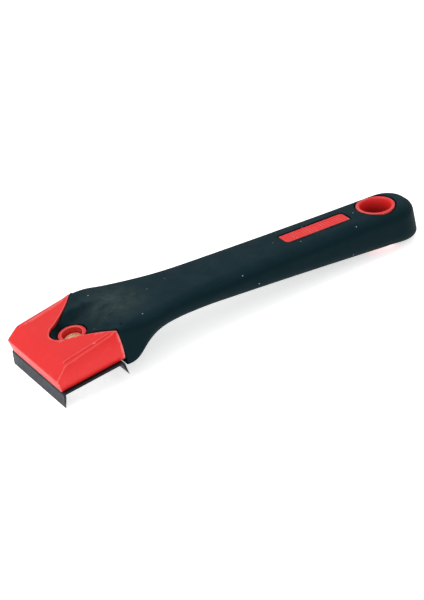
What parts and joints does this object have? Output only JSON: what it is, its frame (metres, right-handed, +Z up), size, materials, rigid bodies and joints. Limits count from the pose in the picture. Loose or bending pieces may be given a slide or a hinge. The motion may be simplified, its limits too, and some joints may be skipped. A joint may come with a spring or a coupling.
{
  "type": "floor scraper",
  "caption": "Pull scraper with a reversible hook blade screwed under a wide moulded head, and a long soft-grip handle with a hanging eyelet.",
  "frame": {"origin": "centre of the bounding box at the level of the bench that the tool lies on", "axes": "+X from the blade towards the handle's end, +Z up from the bench, symmetric about the XZ plane. The tool lies on its front cutting edge and the underside of the handle's end."},
  "size_m": [0.266, 0.0636, 0.0341],
  "materials": {
    "red_plastic": "satin moulded polypropylene",
    "soft_rubber": "matt thermoplastic rubber",
    "blade_steel": "blued spring steel",
    "plated_steel": "bright zinc plate",
    "brass_plate": "yellow passivated plate"
  },
  "bodies": {
    "handle": {"handle_core": "red_plastic", "soft_grip": "soft_rubber", "flat_washer": "plated_steel"},
    "screw": {"clamp_screw": "brass_plate", "lock_washer": "plated_steel"},
    "clamp": {"clamp_plate": "plated_steel", "square_nut": "plated_steel"},
    "blade": {"blade": "blade_steel"}
  },
  "joints": [
    {"name": "screw_turn", "type": "hinge", "parent": "handle", "child": "screw", "pos_m": [-0.1052, 0, 0.01887], "axis": [-0.1068, 0, 0.9943], "range_deg": [0, 1080]},
    {"name": "clamp_drop", "type": "slide", "parent": "handle", "child": "clamp", "axis": [0.1068, 0, -0.9943], "range_m": [0, 0.003]},
    {"name": "blade_drop", "type": "slide", "parent": "handle", "child": "blade", "axis": [0.1068, 0, -0.9943], "range_m": [0, 0.003]}
  ],
  "couplings": [
    {"joint": "screw_turn", "follows": "clamp_drop", "rad_per_m": 6283.2},
    {"joint": "blade_drop", "follows": "clamp_drop", "ratio": 1}
  ]
}
